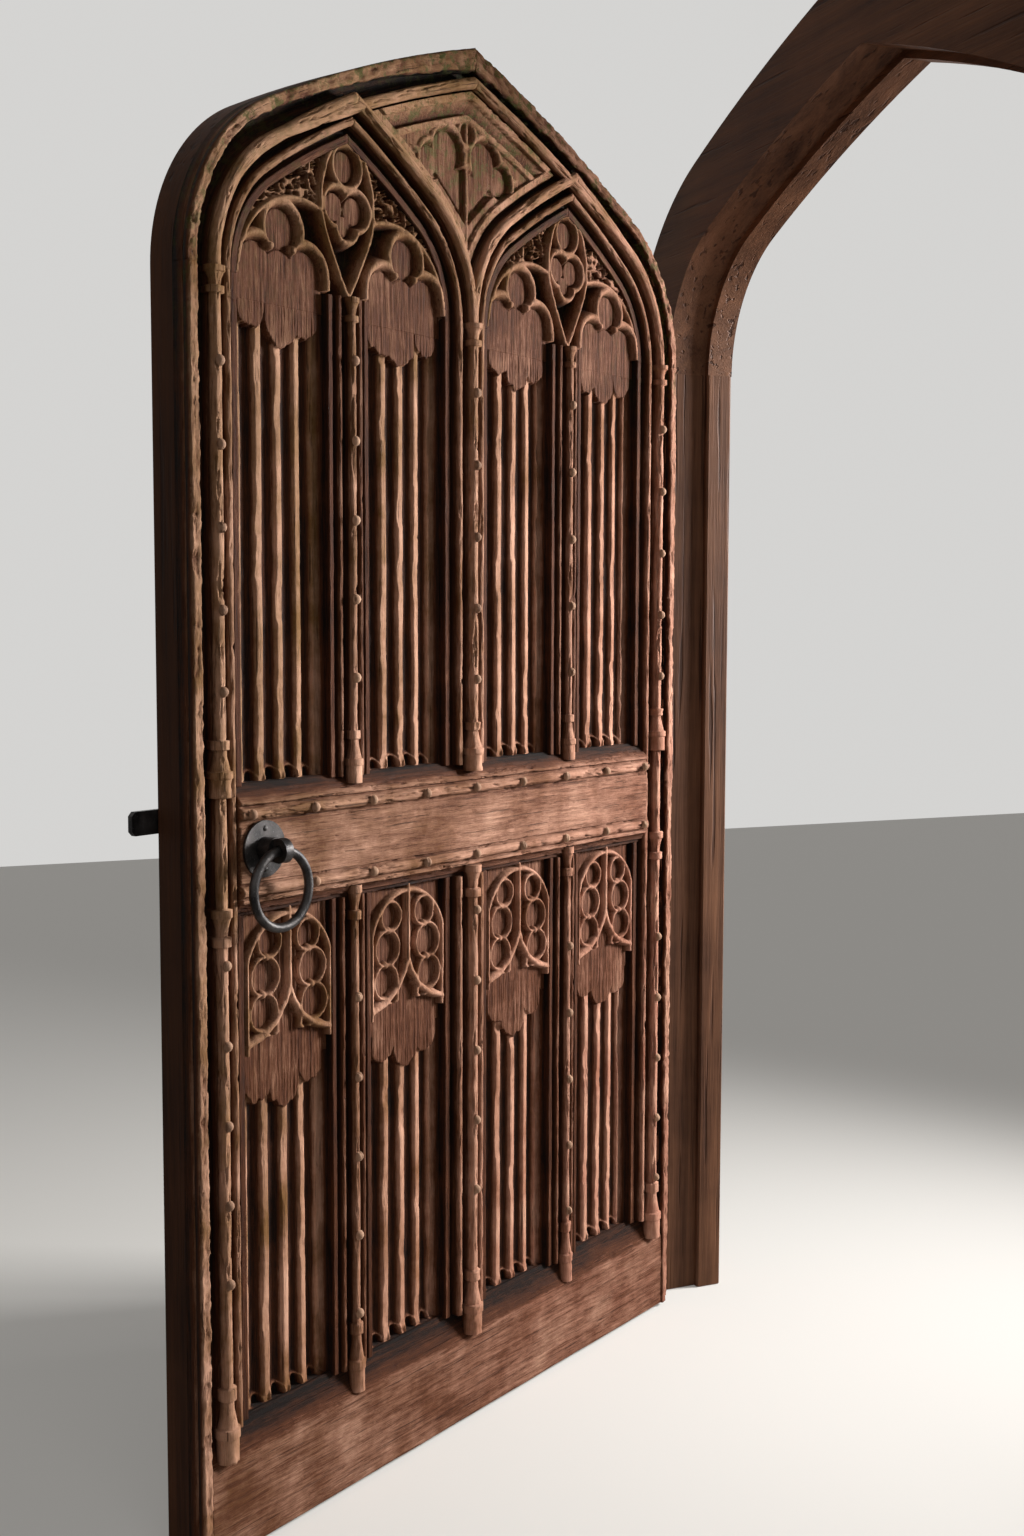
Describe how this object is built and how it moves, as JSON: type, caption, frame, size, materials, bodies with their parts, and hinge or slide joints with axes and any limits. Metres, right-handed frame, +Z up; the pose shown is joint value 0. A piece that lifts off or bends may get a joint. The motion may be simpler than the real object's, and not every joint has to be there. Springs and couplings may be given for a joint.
{
  "type": "arched wooden door with frame",
  "caption": "Carved oak door leaf with linenfold boards and blind tracery under a four-centred arch, hung open in its rebated oak frame, with a ring-turned latch.",
  "frame": {"origin": "centre of the doorway on the floor, in the plane of the frame's room-side face, where the frame is fixed in its wall opening", "axes": "+X across the doorway from the hinge side to the latch side, +Y out of the room through the doorway, +Z up; at rest the leaf stands open about sixty degrees into the room, at negative Y"},
  "size_m": [1.454, 1.2452, 2.2927],
  "materials": {
    "carved_oak": "weathered, open grain",
    "board_oak": "weathered, open grain",
    "back_oak": "dry, dark",
    "frame_oak": "dark, waxed",
    "wrought_iron": "blackened, worn bright on the edges"
  },
  "bodies": {
    "frame": {"jamb_hinge": "frame_oak", "jamb_latch": "frame_oak", "frame_head_hinge": "frame_oak", "frame_head_latch": "frame_oak", "frame_pegs": "frame_oak", "pintle_lower": "wrought_iron", "pintle_upper": "wrought_iron", "latch_catch": "wrought_iron"},
    "leaf": {"rim_free": "carved_oak", "rim_hinge": "carved_oak", "rim_head_free": "carved_oak", "rim_head_hinge": "carved_oak", "stile_free": "carved_oak", "stile_hinge": "carved_oak", "leaf_head_free": "carved_oak", "leaf_head_hinge": "carved_oak", "lock_rail": "carved_oak", "bottom_rail": "carved_oak", "shaft_upper_free": "carved_oak", "shaft_upper_middle": "carved_oak", "shaft_upper_hinge": "carved_oak", "shaft_lower_free": "carved_oak", "shaft_lower_middle": "carved_oak", "shaft_lower_hinge": "carved_oak", "big_arch_free": "carved_oak", "big_arch_hinge": "carved_oak", "tracery_free": "carved_oak", "tracery_hinge": "carved_oak", "crown_tracery": "carved_oak", "lower_tracery_1": "carved_oak", "lower_tracery_2": "carved_oak", "lower_tracery_3": "carved_oak", "lower_tracery_4": "carved_oak", "board_upper_1": "board_oak", "board_upper_2": "board_oak", "board_upper_3": "board_oak", "board_upper_4": "board_oak", "board_lower_1": "board_oak", "board_lower_2": "board_oak", "board_lower_3": "board_oak", "board_lower_4": "board_oak", "back_stile_free": "back_oak", "back_stile_hinge": "back_oak", "back_head_free": "back_oak", "back_head_hinge": "back_oak", "ledge_foot": "back_oak", "ledge_lock": "back_oak", "ledge_high": "back_oak", "strap_lower": "wrought_iron", "strap_upper": "wrought_iron", "strap_nails": "wrought_iron", "studs": "carved_oak", "handle_plate": "wrought_iron", "plate_nails": "wrought_iron", "latch_guide": "wrought_iron", "latch_pivot": "wrought_iron"},
    "spindle": {"spindle": "wrought_iron", "lifter": "wrought_iron"},
    "ring": {"ring": "wrought_iron"},
    "latch": {"latch_bar": "wrought_iron"}
  },
  "joints": [
    {"name": "leaf_swing", "type": "hinge", "parent": "frame", "child": "leaf", "pos_m": [-0.636, -0.01908, 0.9], "axis": [0, 0, -1], "range_deg": [-60.3, 35]},
    {"name": "spindle_turn", "type": "hinge", "parent": "leaf", "child": "spindle", "pos_m": [-0.01008, -0.92957, 0.977], "axis": [0.8686, 0.4955, 0], "range_deg": [0, 30]},
    {"name": "ring_swing", "type": "hinge", "parent": "spindle", "child": "ring", "pos_m": [0.01424, -0.9157, 0.977], "axis": [0.4955, -0.8686, 0], "range_deg": [-5, 95]},
    {"name": "latch_lift", "type": "hinge", "parent": "leaf", "child": "latch", "pos_m": [-0.22139, -0.71049, 1.02], "axis": [-0.8686, -0.4955, 0], "range_deg": [0, 5.5]}
  ],
  "couplings": [
    {"joint": "latch_lift", "follows": "spindle_turn", "ratio": 0.18}
  ]
}
